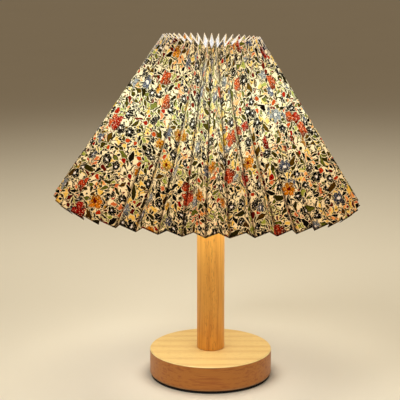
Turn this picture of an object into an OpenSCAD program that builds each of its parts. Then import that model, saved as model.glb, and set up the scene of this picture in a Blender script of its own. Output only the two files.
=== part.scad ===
// Wooden table lamp: turned base and column, screw lampholder and a pleated cloth shade.
// The origin is on the table under the lamp's axis, +Z is up and the front faces -Y.

/* [Base] */
// Diameter of the wooden disc
base_d = 120; // [100:1:160]
// Thickness of the wooden disc
base_h = 24.5; // [22:0.5:36]
// Chamfer on the disc's edges
base_chamfer = 0.8; // [0.2:0.1:2]
// Thickness of the foot pad
pad_h = 2.5; // [2:0.5:5]
// How far the pad's edge stands inside the wood
pad_inset = 1; // [0.5:0.5:5]
// Diameter of the pocket under the disc
pocket_d = 80; // [76:1:90]
// Depth of the pocket
pocket_h = 14; // [13.5:0.5:17]
// Height of the cable inlet above the pocket's mouth
inlet_rise = 7; // [6:0.5:8]
// Bore of the cable inlet's bush
inlet_d = 6.4; // [5:0.2:7]
// Wall of the bush
bush_wall = 1.2; // [0.8:0.1:1.6]
// Length of the bush inside the wood
bush_l = 9; // [6:0.5:14]
// Width of the bush's flange outside its sleeve
bush_flange_w = 2; // [1:0.5:3]
// Thickness of the bush's flange
bush_flange_h = 2; // [1:0.5:3]

/* [Column] */
// Diameter of the wooden column
column_d = 27; // [22:0.5:34]
// Length of the column
column_l = 155.5; // [130:0.5:200]
// Chamfer on the column's ends
column_chamfer = 0.8; // [0.2:0.1:2]

/* [Clamping tube] */
// Outside diameter of the threaded tube
tube_d = 10; // [9:0.5:11]
// Bore of the threaded tube
tube_bore = 7.8; // [6.5:0.1:8]
// How far the tube reaches into the lampholder
tube_reach = 8; // [6:0.5:9]
// How far the tube stands out below its nut
tube_stub = 1; // [0.5:0.5:1.5]
// Diameter of the flat washer
washer_d = 30; // [24:1:32]
// Thickness of the flat washer
washer_h = 2; // [1:0.5:2.5]
// Diameter of the spring washer
spring_washer_d = 16.5; // [15:0.5:20]
// Thickness of the spring washer
spring_washer_h = 1; // [0.6:0.2:1.6]
// Width of the hexagon nut across its flats
nut_af = 14; // [13:0.5:17]
// Height of the hexagon nut
nut_h = 4.5; // [3:0.5:5]

/* [Terminal block] */
// Width of the block
block_w = 16; // [15:0.5:20]
// Length of the block
block_l = 18; // [16:0.5:20]
// Height of the block
block_h = 10; // [9:0.5:11]
// Distance between its two poles
pole_pitch = 8; // [7:0.5:9]
// Outside diameter of a brass pole
pole_d = 3.4; // [3.2:0.1:3.8]
// Bore of a brass pole
pole_bore = 2.5; // [2.4:0.1:2.8]
// Diameter of the poles' screws
pole_screw_d = 2.4; // [2:0.1:2.8]
// Diameter of the wood screw that holds the block
block_screw_d = 2.8; // [2.4:0.1:3.2]
// How far the wood screw bites into the base
block_screw_bite = 5; // [3:0.5:6]

/* [Wires] */
// Diameter of an insulated wire
wire_d = 2.2; // [1.8:0.1:2.3]

/* [Lampholder] */
// Diameter of the cap's neck
neck_d = 18; // [16:0.5:22]
// Height of the cap's neck
neck_h = 5; // [5:0.5:6]
// How far the cap's skirt stands out from the shell's outer thread
cap_step = 0.6; // [0.3:0.1:1.5]
// Height of the cap up to the shell
cap_h = 22; // [21:0.5:24]
// Height of the cap's round shoulder above its neck
cap_round_h = 9; // [8:0.5:11]
// Wall of the cap and of the shell's lower part
holder_wall = 2; // [1.8:0.1:2.4]
// Height of the spigot that the shell screws over
spigot_h = 5; // [4:0.5:6]
// Gap between the brass screw sleeve and the shell
chamber_gap = 0.85; // [0.6:0.05:1]
// Wall of the shell from its chamber to the crests of its outer thread
shell_wall = 4.6; // [4.4:0.1:5]
// Depth of the outer thread
shell_thread_depth = 0.7; // [0.4:0.1:0.9]
// Pitch of the outer thread
shell_thread_pitch = 3; // [2:0.5:4]
// Height of the shell
shell_h = 36; // [34:0.5:38]
// Plain rim above the outer thread
shell_rim = 3; // [2:0.5:4]
// Width of the shoulder under the shade, outside the outer thread
shoulder_w = 3.6; // [3:0.1:4]
// Height of the shoulder
shoulder_h = 3; // [2:0.5:4]
// Gap between the bulb's cap and the shell's mouth
mouth_gap = 1.15; // [0.75:0.05:1.25]
// Thickness of the mouth's lip
mouth_lip = 2; // [1:0.5:3]
// Thickness of the insulator
insulator_h = 4.5; // [3.5:0.5:6]
// Wall of the brass screw sleeve
sleeve_wall = 0.4; // [0.3:0.05:0.5]
// Opening in the sleeve's floor
sleeve_floor_d = 18.6; // [18:0.2:20]
// Diameter of the cap's lock screw
lock_screw_d = 3; // [2.5:0.1:3.2]

/* [Contacts] */
// Thickness of the contact strips
strip_h = 0.7; // [0.5:0.1:0.8]
// Width of the contact strips
strip_w = 5; // [4:0.5:6]
// Travel of the sprung centre contact
contact_travel = 1; // [0.5:0.1:1.2]
// Height of the dome on the centre contact
contact_dome_h = 0.9; // [0.7:0.1:1.2]
// Diameter of the dome
contact_dome_d = 4.4; // [3:0.2:5]
// Length of a terminal
terminal_l = 9; // [8:0.5:9.5]
// Gap between a terminal and the cap's wall
terminal_gap = 1.4; // [1.2:0.1:1.8]
// Height of a terminal
terminal_h = 6; // [5:0.5:7]
// Diameter of a terminal screw
terminal_screw_d = 2.4; // [2:0.1:2.8]

/* [Retaining ring] */
// Width of the ring's flange outside its collar
ring_flange_w = 5.5; // [4:0.5:6]
// Thickness of the flange
ring_flange_h = 2.5; // [2:0.5:4]
// Wall of the ring's collar
ring_wall = 3; // [2:0.5:4]
// Height of the whole ring
ring_h = 9.5; // [7:0.5:14]
// Number of grip ribs on the flange
ring_ribs = 24; // [12:1:36]

/* [Shade frame] */
// Play between the fitter washer and the lampholder's outer thread
fitter_play = 1.1; // [0.9:0.1:1.4]
// Width of the fitter washer
fitter_w = 9; // [8:0.5:11]
// Thickness of the fitter washer
fitter_h = 1.5; // [1:0.1:2]
// Number of arms
arm_count = 3; // [3:1:5]
// Diameter of the arm wire
arm_wire_d = 3; // [2:0.2:4]
// Width of an arm's flattened foot
arm_foot_w = 6; // [4:0.5:8]
// How far an arm meets the crown ring inside the middle of its wire
arm_weld_in = 1; // [0.5:0.1:1.2]
// Thickness of the crown ring's wire
crown_wire_d = 3; // [2:0.2:4]

/* [Pleated skirt] */
// Number of pleats; an odd one puts an inner fold at the front and an outer one at the back
pleats = 41; // [31:2:43]
// Width of one pleat panel
panel_w = 15.5; // [13.5:0.5:18]
// Diameter at the middle of the pleats at the crown
crown_d = 80.6; // [78:0.2:88]
// Diameter at the middle of the pleats at the hem
hem_d = 285.8; // [240:0.2:290]
// Height from hem to crown at the middle of the pleats
skirt_h = 153; // [130:0.5:160]
// Height of the hem above the top of the wooden disc
hem_rise = 150; // [140:0.5:170]
// Thickness of the cloth on its backing
cloth_t = 0.6; // [0.4:0.1:1]
// Distance along the slant from the crown's edge to the crown ring
crown_ring_drop = 16; // [14:0.5:20]

/* [Bulb] */
// Largest diameter of the bulb
bulb_d = 37; // [34:0.5:38]
// Length of the bulb from contact to tip
bulb_l = 98; // [92:1:104]
// Diameter over the crests of its screw cap
cap_thread_d = 26.1; // [25.9:0.05:26.4]
// Depth of the cap's thread
cap_thread_depth = 0.9; // [0.5:0.1:1.2]
// Length of the screw cap with its contact
bulb_cap_l = 27; // [25:0.5:28]
// Length of the bulb's housing
bulb_housing_l = 20; // [16:1:24]
// Wall of the diffuser
diffuser_wall = 1.2; // [0.8:0.1:1.6]
// Wall of the housing
housing_wall = 1.5; // [1.2:0.1:2]
// Diameter of the bulb's centre contact
pip_d = 9; // [7:0.5:11]
// Height of the centre contact
pip_h = 1.6; // [1:0.2:2]
// Height of the black insulator
pip_base_h = 3.4; // [2:0.2:4]
// Width of the driver board
driver_w = 14; // [12:0.5:16]
// Thickness of the driver board and of the board with the light chips
board_h = 1.6; // [1:0.2:2]
// Diameter of the driver's capacitor
capacitor_d = 6; // [5:0.5:7]
// Length of the driver's capacitor
capacitor_l = 5; // [4:0.5:6]
// Height of the driver's coil
coil_h = 7; // [5:0.5:8]
// Side of a light chip
chip_w = 3; // [2:0.5:4]
// Height of a light chip
chip_h = 0.7; // [0.4:0.1:1]
// Radius of the ring of light chips
chip_ring_r = 9; // [7:0.5:10]

/* [Hidden] */
$fn = 96;

// Fits and gaps
wood_gap = 0.3;
thread_gap = 0.05;
fit_gap = 0.1;
weld_bite = 0.3;

// Heights of the stand
base_top = pad_h + base_h;
pocket_top = pad_h + pocket_h;
column_top = base_top + column_l;
washer_bottom = pocket_top - washer_h;
spring_washer_bottom = washer_bottom - spring_washer_h;
nut_bottom = spring_washer_bottom - nut_h;
tube_bottom = nut_bottom - tube_stub;
tube_top = column_top + tube_reach;

// The cable inlet at the back
inlet_z = pad_h + inlet_rise;
bush_d = inlet_d + 2 * bush_wall;
bush_flange_d = bush_d + 2 * bush_flange_w;
spot_face_d = bush_flange_d + 2;
spot_face_y = sqrt(pow(base_d / 2, 2) - pow(spot_face_d / 2, 2)) - 0.2;

// The terminal block hangs from the pocket's ceiling behind the washer
block_y = washer_d / 2 + 2;
block_bottom = pocket_top - block_h;
pole_z = pocket_top - block_h / 2;
pole_l = block_l - 2;
pole_screw_l = block_h / 2 - 1;
pole_screw_inset = 4;
screw_head_h = 1.2;

// Heights of the lampholder
holder_z = column_top;
shell_z = holder_z + cap_h;
seat_z = shell_z + shoulder_h;
shell_top = shell_z + shell_h;
thread_top = shell_top - shell_rim;
spigot_top = shell_z + spigot_h;
insulator_top = spigot_top + insulator_h;
cavity_cone_z = holder_z + tube_reach + 0.5;
cavity_cone_h = 6.5;
lock_screw_z = holder_z + neck_h / 2;

// The sleeve clears the bulb's crests at every height, and each round outside it follows
thread_pitch = 25.4 / 7;
sleeve_inner_d = cap_thread_d + 2 * fit_gap;
sleeve_wave = cap_thread_depth;
sleeve_floor_h = sleeve_wall;
sleeve_top = shell_top - mouth_lip - 0.5;
sleeve_outer_r = sleeve_inner_d / 2 + sleeve_wave + sleeve_wall;
chamber_d = 2 * (sleeve_outer_r + chamber_gap);
mouth_d = cap_thread_d + 2 * mouth_gap;
shell_thread_d = chamber_d + 2 * shell_wall;
shoulder_d = shell_thread_d + 2 * shoulder_w;
spigot_step = 0.3;
spigot_d = shell_thread_d - 2 * (shell_thread_depth + holder_wall - spigot_step);
socket_d = spigot_d + 2 * fit_gap;
cavity_d = spigot_d - 2 * holder_wall;
cap_d = shell_thread_d + 2 * cap_step;

// Contacts
strip_gap = 0.3;
contact_strip_z = insulator_top + 0.8;
contact_reach = contact_dome_d / 2 + 0.8;
dome_top = contact_strip_z + strip_h + contact_dome_h;
strap_x = sleeve_floor_d / 2 - 1.3;
contact_leg_x = -strap_x;
terminal_x = strap_x + strip_h;
terminal_w = cavity_d / 2 - terminal_gap - terminal_x;
live_terminal_x = -contact_leg_x + strip_gap;
terminal_bottom = spigot_top - terminal_h;
terminal_hole_y = 2.2;
terminal_screw_h = 2;

// Shade frame
fitter_bore = shell_thread_d + 2 * fitter_play;
fitter_d = fitter_bore + 2 * fitter_w;
ring_bore = shell_thread_d + 2 * fit_gap;
ring_collar_d = ring_bore + 2 * ring_wall;
ring_flange_d = ring_collar_d + 2 * ring_flange_w;
rib_depth = 1.2;
rib_w = 2;
fitter_top = seat_z + fitter_h;
arm_foot_h = 1.5;
arm_foot_in = shoulder_d / 2 + 1;
arm_foot_r = fitter_d / 2 + arm_wire_d;
arm_foot_z = seat_z - arm_foot_h;

// Slope of the skirt
slope_run = (hem_d - crown_d) / 2;
slope_l = sqrt(pow(slope_run, 2) + pow(skirt_h, 2));
slope_cos = skirt_h / slope_l;
slope_sin = slope_run / slope_l;
hem_z = base_top + hem_rise;
crown_z = hem_z + skirt_h;
function fold_half(r) = PI * r / pleats;
function fold_depth(r) = sqrt(pow(panel_w, 2) - pow(fold_half(r), 2));
function cloth_offset(r) = cloth_t / 2 * panel_w / fold_half(r);

// The crown ring lies in shallow notches of the pleats' inner folds, hidden from outside
notch_cover = 0.2;
drop_share = crown_ring_drop / slope_l;
crown_in = [crown_d / 2, crown_z] - fold_depth(crown_d / 2) / 2 * [slope_cos, slope_sin];
hem_in = [hem_d / 2, hem_z] - fold_depth(hem_d / 2) / 2 * [slope_cos, slope_sin];
crown_ring_at = crown_in + drop_share * (hem_in - crown_in);
crown_ring_z = crown_ring_at[1];
crown_ring_r = crown_ring_at[0] - notch_cover - crown_wire_d / 2
    + cloth_offset(crown_d / 2 + drop_share * slope_run) * slope_cos;

// Bulb
pip_z = dome_top + strip_gap;
bulb_cap_top = pip_z + bulb_cap_l;
bulb_housing_top = bulb_cap_top + bulb_housing_l;
bulb_top = pip_z + bulb_l;
cap_wall = 0.5;
cap_thread_z = pip_z + pip_h + pip_base_h;
cap_collar = 4;
driver_z = cap_thread_z + cap_wall;
board_z = bulb_housing_top - board_h;
board_rim = 1;
board_seat_w = 2;
board_r = bulb_d / 2 - diffuser_wall - board_rim;

// Profile of a rolled thread: crests of one pitch between two heights, on one radius
function thread_edge(r, depth, pitch, low, high) = [
    for (i = [0 : floor((high - low) / pitch) - 1])
        for (p = [[0, 0], [0.3, 1], [0.6, 1], [0.9, 0]])
            [r - depth + p[1] * depth, low + (i + p[0]) * pitch]
];

module pipe(z, h, d, bore) {
    translate([0, 0, z]) difference() {
        cylinder(d = d, h = h);
        translate([0, 0, -1]) cylinder(d = bore, h = h + 2);
    }
}

module foot_pad() color("#1a1816") {
    cylinder(d = base_d - 2 * pad_inset, h = pad_h);
}

module base_disc() color("#d9994f") {
    r = base_d / 2;
    difference() {
        rotate_extrude() polygon([
            [0, pad_h], [r - base_chamfer, pad_h], [r, pad_h + base_chamfer],
            [r, base_top - base_chamfer], [r - base_chamfer, base_top], [0, base_top]
        ]);
        translate([0, 0, pad_h - 1]) cylinder(d = pocket_d, h = pocket_h + 1);
        translate([0, 0, pad_h]) cylinder(d = tube_d + 2 * wood_gap, h = base_h + 1);
        translate([0, 0, inlet_z]) rotate([-90, 0, 0]) cylinder(d = bush_d + 2 * fit_gap, h = r + 1);
        translate([0, spot_face_y, inlet_z]) rotate([-90, 0, 0]) cylinder(d = spot_face_d, h = r);
        translate([0, block_y + block_l / 2, pocket_top - 1])
            cylinder(d = block_screw_d + 2 * fit_gap, h = block_screw_bite + 1.5);
    }
}

module cable_bush() color("#2a2725") {
    translate([0, spot_face_y, inlet_z]) rotate([-90, 0, 0]) difference() {
        union() {
            translate([0, 0, -bush_l]) cylinder(d = bush_d, h = bush_l);
            cylinder(d = bush_flange_d, h = bush_flange_h);
        }
        translate([0, 0, -bush_l - 1]) cylinder(d = inlet_d, h = bush_l + bush_flange_h + 2);
    }
}

module column() color("#cf8537") {
    r = column_d / 2;
    bore = tube_d / 2 + wood_gap;
    rotate_extrude() polygon([
        [bore, base_top], [r - column_chamfer, base_top], [r, base_top + column_chamfer],
        [r, column_top - column_chamfer], [r - column_chamfer, column_top], [bore, column_top]
    ]);
}

module clamping_tube() color("#b9b9b4") {
    pipe(tube_bottom, tube_top - tube_bottom, tube_d, tube_bore);
}

module flat_washer() color("#c4c4c0") {
    pipe(washer_bottom, washer_h, washer_d, tube_d + 2 * fit_gap);
}

module spring_washer() color("#8f8f8c") difference() {
    pipe(spring_washer_bottom, spring_washer_h, spring_washer_d, tube_d + 2 * fit_gap);
    // The split that makes it springy
    translate([-spring_washer_d, -0.6, spring_washer_bottom - 1])
        cube([spring_washer_d, 1.2, spring_washer_h + 2]);
}

module hex_nut() color("#c9b36a") difference() {
    translate([0, 0, nut_bottom]) cylinder(d = nut_af / cos(30), h = nut_h, $fn = 6);
    translate([0, 0, nut_bottom - 1]) cylinder(d = tube_d + 2 * thread_gap, h = nut_h + 2);
}

module at_poles() {
    for (x = [-pole_pitch / 2, pole_pitch / 2]) translate([x, 0, 0]) children();
}

module at_pole_screws() {
    at_poles() for (y = [pole_screw_inset, block_l - pole_screw_inset])
        translate([0, block_y + y, block_bottom]) children();
}

module terminal_block() color("#f1eee4") difference() {
    translate([-block_w / 2, block_y, block_bottom]) cube([block_w, block_l, block_h]);
    at_poles() translate([0, block_y - 1, pole_z]) rotate([-90, 0, 0])
        cylinder(d = pole_d + 2 * thread_gap, h = block_l + 2);
    at_pole_screws() translate([0, 0, -1]) cylinder(d = pole_screw_d + 2 * fit_gap, h = block_h / 2 + 1);
    translate([0, block_y + block_l / 2, block_bottom - 1])
        cylinder(d = block_screw_d + 2 * fit_gap, h = block_h + 2);
}

module block_poles() color("#c8a24a") at_poles() difference() {
    translate([0, block_y + 1, pole_z]) rotate([-90, 0, 0]) cylinder(d = pole_d, h = pole_l);
    translate([0, block_y, pole_z]) rotate([-90, 0, 0]) cylinder(d = pole_bore, h = block_l);
    for (y = [pole_screw_inset, block_l - pole_screw_inset])
        translate([0, block_y + y, block_bottom - 1])
            cylinder(d = pole_screw_d + 2 * thread_gap, h = block_h / 2 + 1);
}

module block_pole_screws() color("#b5b5b0") at_pole_screws() difference() {
    translate([0, 0, 0.5]) cylinder(d = pole_screw_d, h = pole_screw_l - wire_d / 2);
    translate([-pole_screw_d, -0.25, 0]) cube([2 * pole_screw_d, 0.5, 1]);
}

module block_wood_screw() color("#b5b5b0") {
    translate([0, block_y + block_l / 2, 0]) difference() {
        union() {
            translate([0, 0, block_bottom]) cylinder(d = block_screw_d, h = block_h + block_screw_bite);
            translate([0, 0, block_bottom - screw_head_h])
                cylinder(d = 2 * block_screw_d, h = screw_head_h);
        }
        translate([-block_screw_d, -0.35, block_bottom - screw_head_h - 1])
            cube([2 * block_screw_d, 0.7, 1.6]);
    }
}

// Route of one wire: out of its pole, under the nut, up the tube and out to its terminal
wire_side = wire_d / 2 + 0.2;
wire_low = pad_h + wire_d / 2 + 0.6;
wire_terminal_x = terminal_x + terminal_w / 2;
wire_turn = tube_bottom - wire_low;
wire_route = [
    [pole_pitch / 2, block_y + 3, pole_z],
    [pole_pitch / 2, block_y, pole_z],
    [pole_pitch / 2 - 0.4, block_y - 2.6, pole_z - 1.4],
    [wire_side + 1, block_y - 7.4, wire_low + 1.6],
    [wire_side + 0.4, wire_turn + 1.4, wire_low],
    [wire_side, wire_turn / 3, wire_low + 1.2],
    [wire_side, 0, tube_bottom + 1],
    [wire_side, 0, tube_bottom + 8],
    [wire_side, 0, (tube_bottom + tube_top) / 2],
    [wire_side, 0, tube_top - 6],
    [wire_side, 0, tube_top + 0.5],
    [wire_side + 3.2, -terminal_hole_y / 3, tube_top + 4.5],
    [wire_terminal_x - 1.4, -terminal_hole_y * 0.9, terminal_bottom - 5],
    [wire_terminal_x, -terminal_hole_y, terminal_bottom - 2],
    [wire_terminal_x, -terminal_hole_y, terminal_bottom - 2 * fit_gap]
];
wire_sides = 8;
wire_steps = 3;

// Cubic curve through the route's points, with the end points doubled
function route_at(p, i) = p[max(0, min(len(p) - 1, i))];
function curve_point(p, i, t) = let(
    a = route_at(p, i - 1), b = route_at(p, i), c = route_at(p, i + 1), d = route_at(p, i + 2))
    0.5 * (2 * b + (c - a) * t + (2 * a - 5 * b + 4 * c - d) * t * t
        + (3 * b - a - 3 * c + d) * t * t * t);
function curve_through(p, steps) = concat(
    [for (i = [0 : len(p) - 2]) for (s = [0 : steps - 1]) curve_point(p, i, s / steps)],
    [p[len(p) - 1]]);
function unit(v) = v / norm(v);
function along(path, i) = unit(route_at(path, i + 1) - route_at(path, i - 1));

// One closed tube along a path, with flat ends square to it
module tube_along(path, d) {
    rings = len(path);
    side = [1, 1, 0];
    points = [for (i = [0 : rings - 1])
        let(t = along(path, i), u = unit(cross(t, side)), v = cross(t, u))
            for (k = [0 : wire_sides - 1])
                let(a = 360 * k / wire_sides) path[i] + d / 2 * (u * cos(a) + v * sin(a))];
    walls = [for (i = [0 : rings - 2]) for (k = [0 : wire_sides - 1])
        let(n = (k + 1) % wire_sides, a = i * wire_sides)
            for (f = [[a + k, a + n, a + wire_sides + n], [a + k, a + wire_sides + n, a + wire_sides + k]])
                f];
    start = [for (k = [wire_sides - 1 : -1 : 0]) k];
    finish = [for (k = [0 : wire_sides - 1]) (rings - 1) * wire_sides + k];
    polyhedron(points, concat(walls, [start, finish]), convexity = 10);
}

module live_wire() color("#7a4a22") mirror([1, 0, 0]) {
    tube_along(curve_through(wire_route, wire_steps), wire_d);
}

module neutral_wire() color("#3d6ea8") {
    tube_along(curve_through(wire_route, wire_steps), wire_d);
}

module holder_cap() color("#f3f1ea") difference() {
    rotate_extrude() polygon([
        [tube_d / 2 + thread_gap, holder_z], [neck_d / 2, holder_z], [neck_d / 2, holder_z + neck_h],
        [cap_d / 2 - 1, holder_z + neck_h + cap_round_h - 1.5],
        [cap_d / 2, holder_z + neck_h + cap_round_h],
        [cap_d / 2, shell_z], [spigot_d / 2, shell_z], [spigot_d / 2, spigot_top],
        [cavity_d / 2, spigot_top], [cavity_d / 2, cavity_cone_z + cavity_cone_h],
        [tube_d / 2 + thread_gap, cavity_cone_z]
    ]);
    translate([0, 0, lock_screw_z]) rotate([-90, 0, 0])
        cylinder(d = lock_screw_d + 2 * fit_gap, h = neck_d);
}

module cap_lock_screw() color("#b5b5b0") {
    translate([0, tube_d / 2, lock_screw_z]) rotate([-90, 0, 0]) difference() {
        translate([0, 0, thread_gap]) cylinder(d = lock_screw_d, h = (neck_d - tube_d) / 2);
        translate([-lock_screw_d, -0.3, (neck_d - tube_d) / 2 - 0.6])
            cube([2 * lock_screw_d, 0.6, 2]);
    }
}

module holder_shell() color("#f3f1ea") {
    root_r = shell_thread_d / 2 - shell_thread_depth;
    rotate_extrude() polygon(concat(
        [[socket_d / 2, shell_z], [shoulder_d / 2, shell_z], [shoulder_d / 2, seat_z], [root_r, seat_z]],
        thread_edge(shell_thread_d / 2, shell_thread_depth, shell_thread_pitch, seat_z + 0.5, thread_top),
        [[root_r, shell_top - 0.5], [root_r - 0.5, shell_top], [mouth_d / 2, shell_top],
            [mouth_d / 2, shell_top - mouth_lip], [chamber_d / 2, shell_top - mouth_lip],
            [chamber_d / 2, insulator_top], [socket_d / 2, insulator_top]]
    ));
}

module insulator() color("#e9e4d6") difference() {
    translate([0, 0, spigot_top]) cylinder(d = spigot_d, h = insulator_h);
    // Recess that the sprung contact dips into, and the hole for its leg
    translate([contact_leg_x - strip_gap, -strip_w / 2 - strip_gap, insulator_top - contact_travel])
        cube([contact_reach - contact_leg_x + 2 * strip_gap, strip_w + 2 * strip_gap, contact_travel + 1]);
    translate([contact_leg_x - strip_gap, -strip_w / 2 - strip_gap, spigot_top - 1])
        cube([strip_h + 2 * strip_gap, strip_w + 2 * strip_gap, insulator_h + 2]);
    // Seat of the neutral strap's foot, and the hole for its leg
    translate([strap_x - fit_gap, -strip_w / 2 - fit_gap, insulator_top - sleeve_wall])
        cube([strip_w + 2 * fit_gap, strip_w + 2 * fit_gap, 1]);
    translate([strap_x - fit_gap, -strip_w / 2 - fit_gap, spigot_top - 1])
        cube([strip_h + 2 * fit_gap, strip_w + 2 * fit_gap, insulator_h + 2]);
}

module screw_sleeve() color("#c8a24a") {
    outer = sleeve_outer_r;
    floor_z = insulator_top;
    low = floor_z + 2;
    inner_edge = thread_edge(outer - sleeve_wall, sleeve_wave, thread_pitch, low, sleeve_top);
    wall_edge = [for (p = inner_edge) p + [sleeve_wall, 0]];
    last = len(inner_edge) - 1;
    rotate_extrude() polygon(concat(
        [[sleeve_floor_d / 2, floor_z], [outer - sleeve_wave, floor_z]],
        wall_edge,
        [[outer - sleeve_wave, sleeve_top], [outer - sleeve_wave - sleeve_wall, sleeve_top]],
        [for (i = [last : -1 : 0]) inner_edge[i]],
        [[outer - sleeve_wave - sleeve_wall, floor_z + sleeve_floor_h],
            [sleeve_floor_d / 2, floor_z + sleeve_floor_h]]
    ));
}

module centre_contact() color("#c8a24a") {
    translate([contact_leg_x, -strip_w / 2, contact_strip_z])
        cube([contact_reach - contact_leg_x, strip_w, strip_h]);
    translate([contact_leg_x, -strip_w / 2, spigot_top])
        cube([strip_h, strip_w, contact_strip_z - spigot_top + strip_h]);
    translate([0, 0, contact_strip_z]) cylinder(d = contact_dome_d, h = strip_h + contact_dome_h / 2);
    translate([0, 0, contact_strip_z + strip_h + contact_dome_h / 2])
        cylinder(d1 = contact_dome_d, d2 = contact_dome_d * 0.6, h = contact_dome_h / 2);
}

module neutral_strap() color("#c8a24a") {
    translate([strap_x, -strip_w / 2, terminal_bottom])
        cube([strip_h, strip_w, insulator_top - terminal_bottom]);
    translate([strap_x, -strip_w / 2, insulator_top - sleeve_wall]) cube([strip_w, strip_w, sleeve_wall]);
}

module at_terminals() {
    translate([terminal_x, 0, 0]) children();
    translate([-live_terminal_x, 0, 0]) mirror([1, 0, 0]) children();
}

module terminals() color("#c8a24a") at_terminals() difference() {
    translate([0, -terminal_l / 2, terminal_bottom]) cube([terminal_w, terminal_l, terminal_h]);
    translate([terminal_w / 2, terminal_hole_y, terminal_bottom - 1])
        cylinder(d = terminal_screw_d + 2 * thread_gap, h = terminal_h - 1);
}

module terminal_screws() color("#b5b5b0") at_terminals() {
    translate([terminal_w / 2, terminal_hole_y, terminal_bottom]) difference() {
        union() {
            cylinder(d = terminal_screw_d, h = terminal_h - 2.5);
            translate([0, 0, -terminal_screw_h]) cylinder(d = 1.6 * terminal_screw_d, h = terminal_screw_h);
        }
        translate([-terminal_screw_d, -0.25, -terminal_screw_h - 1]) cube([2 * terminal_screw_d, 0.5, 1.6]);
    }
}

module fitter_washer() color("#e8e6df") {
    pipe(seat_z, fitter_h, fitter_d, fitter_bore);
}

module shade_arms() color("#e8e6df") {
    top_r = crown_ring_r - arm_weld_in;
    foot_z = arm_foot_z + arm_wire_d / 2 - arm_foot_h;
    rise = crown_ring_z - foot_z;
    run = top_r - arm_foot_r;
    tilt = atan2(run, rise);
    for (i = [0 : arm_count - 1]) rotate([0, 0, 90 + 360 * i / arm_count]) {
        translate([arm_foot_in, -arm_foot_w / 2, arm_foot_z])
            cube([arm_foot_r - arm_foot_in, arm_foot_w, arm_foot_h]);
        translate([arm_foot_r, 0, foot_z]) sphere(d = arm_wire_d);
        translate([arm_foot_r, 0, foot_z]) rotate([0, tilt, 0])
            cylinder(d = arm_wire_d, h = norm([rise, run]) - crown_wire_d / 2 + weld_bite);
    }
}

module crown_ring() color("#e8e6df") {
    translate([0, 0, crown_ring_z]) rotate_extrude() translate([crown_ring_r, 0])
        circle(d = crown_wire_d, $fn = 48);
}

// One point of the zigzag cloth at a share of its slant, on a straight fold from crown to hem.
// Fold 0 is an inner fold at the front; face is 1 outside and -1 inside
function fold_end(way, r, z) = [r, z] + way * fold_depth(r) / 2 * [slope_cos, slope_sin];
function fold_point(fold, face, share) = let(
    way = fold % 2 == 0 ? -1 : 1,
    high = fold_end(way, crown_d / 2, crown_z),
    low = fold_end(way, hem_d / 2, hem_z),
    middle_r = crown_d / 2 + share * slope_run,
    p = high + share * (low - high) + face * cloth_offset(middle_r) * [slope_cos, slope_sin],
    a = -90 + 180 * fold / pleats)
    [p[0] * cos(a), p[0] * sin(a), p[1]];

// Heights along the skirt, as shares of its slant, at which the cloth's thickness is set
cloth_rows = [0, 0.12, 0.3, 0.6, 1];

module pleated_skirt() color("#e6d6a0") {
    folds = 2 * pleats;
    rows = len(cloth_rows);
    points = [for (face = [1, -1]) for (share = cloth_rows) for (i = [0 : folds - 1])
        fold_point(i, face, share)];
    back = rows * folds;
    // A panel's corners between two rows, the same on both faces so that the cloth keeps its thickness
    panels = [for (k = [0 : rows - 2]) for (i = [0 : folds - 1])
        let(n = (i + 1) % folds, a = k * folds, b = a + folds) [a + i, a + n, b + n, b + i]];
    front_faces = [for (p = panels) for (f = [[p[0], p[1], p[2]], [p[0], p[2], p[3]]]) f];
    back_faces = [for (f = front_faces) [back + f[0], back + f[2], back + f[1]]];
    // The cut edges at the crown and at the hem
    crown_edge = [for (i = [0 : folds - 1]) let(n = (i + 1) % folds)
        for (f = [[back + i, back + n, n], [back + i, n, i]]) f];
    low = (rows - 1) * folds;
    hem_edge = [for (i = [0 : folds - 1]) let(n = (i + 1) % folds)
        for (f = [[low + i, low + n, back + low + n], [low + i, back + low + n, back + low + i]]) f];
    polyhedron(points, concat(front_faces, back_faces, crown_edge, hem_edge), convexity = 20);
}

module retaining_ring() color("#f3f1ea") {
    pipe(fitter_top, ring_flange_h, ring_flange_d - rib_depth, ring_bore);
    pipe(fitter_top, ring_h, ring_collar_d, ring_bore);
    for (i = [0 : ring_ribs - 1]) rotate([0, 0, 360 * i / ring_ribs])
        translate([ring_flange_d / 2 - rib_depth, -rib_w / 2, fitter_top])
            cube([rib_depth, rib_w, ring_flange_h]);
}

module bulb_contact() color("#b9b9b4") {
    translate([0, 0, pip_z]) cylinder(d1 = pip_d - 2, d2 = pip_d, h = pip_h);
}

module bulb_insulator() color("#26221f") {
    translate([0, 0, pip_z + pip_h])
        cylinder(d1 = pip_d + 2, d2 = cap_thread_d - 2 * cap_thread_depth - 1, h = pip_base_h);
}

module bulb_screw_cap() color("#c9c6bd") {
    root_r = cap_thread_d / 2 - cap_thread_depth;
    high = bulb_cap_top - cap_collar;
    outer_edge = thread_edge(cap_thread_d / 2, cap_thread_depth, thread_pitch, cap_thread_z, high);
    rotate_extrude() polygon(concat(
        [[0, cap_thread_z]],
        outer_edge,
        [[root_r, high], [root_r, bulb_cap_top], [root_r - cap_wall, bulb_cap_top],
            [root_r - cap_wall, cap_thread_z + cap_wall], [0, cap_thread_z + cap_wall]]
    ));
}

module bulb_housing() color("#f5f3ee") {
    low_r = cap_thread_d / 2 - cap_thread_depth + 1;
    high_r = bulb_d / 2;
    mouth_r = low_r - 1 - cap_wall;
    rotate_extrude() polygon([
        [mouth_r, bulb_cap_top], [low_r, bulb_cap_top], [high_r, bulb_housing_top],
        [board_r, bulb_housing_top], [board_r, board_z], [board_r - board_seat_w, board_z],
        [mouth_r - housing_wall + 0.5, bulb_cap_top + housing_wall], [mouth_r - housing_wall, bulb_cap_top]
    ]);
}

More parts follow.
